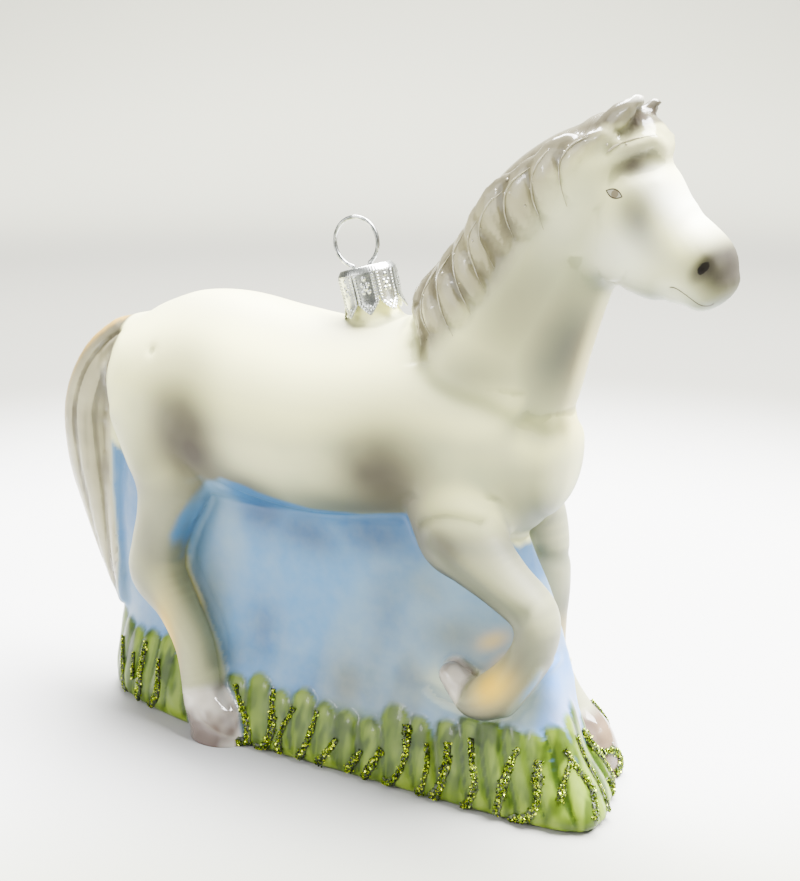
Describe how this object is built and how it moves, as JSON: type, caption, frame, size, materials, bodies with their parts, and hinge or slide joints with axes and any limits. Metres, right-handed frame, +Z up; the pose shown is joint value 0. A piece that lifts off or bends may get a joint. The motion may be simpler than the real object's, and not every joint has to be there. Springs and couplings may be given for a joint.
{
  "type": "glass horse christmas ornament",
  "caption": "Mould-blown glass tree ornament of a walking white horse on a sky panel and grass base, with a metal cap and wire hanger.",
  "frame": {"origin": "middle of the bounding box at floor level, under the base the ornament stands on", "axes": "+X towards the horse's nose, +Y to the horse's left, +Z up"},
  "size_m": [0.1425, 0.0403, 0.1227],
  "materials": {
    "frosted_white_glass": "opaque satin white lacquer on silvered blown glass",
    "warm_grey_glass": "glossy warm grey lacquer on blown glass",
    "sky_blue_glass": "glossy mottled sky blue lacquer on blown glass",
    "grass_green_glass": "glossy green lacquer with glitter on blown glass",
    "silver_cap": "bright stamped metal, embossed beads",
    "steel_wire": "bright drawn wire"
  },
  "bodies": {
    "root": {"head": "frosted_white_glass", "neck": "frosted_white_glass", "trunk": "frosted_white_glass", "leg_fore_right": "frosted_white_glass", "leg_fore_left": "frosted_white_glass", "leg_hind_right": "frosted_white_glass", "leg_hind_left": "frosted_white_glass", "glass_spout": "frosted_white_glass", "ear_right": "warm_grey_glass", "ear_left": "warm_grey_glass", "mane": "warm_grey_glass", "tail": "warm_grey_glass", "sky_panel": "sky_blue_glass", "grass_base": "grass_green_glass", "metal_cap": "silver_cap", "wire_hanger": "steel_wire"}
  },
  "joints": []
}
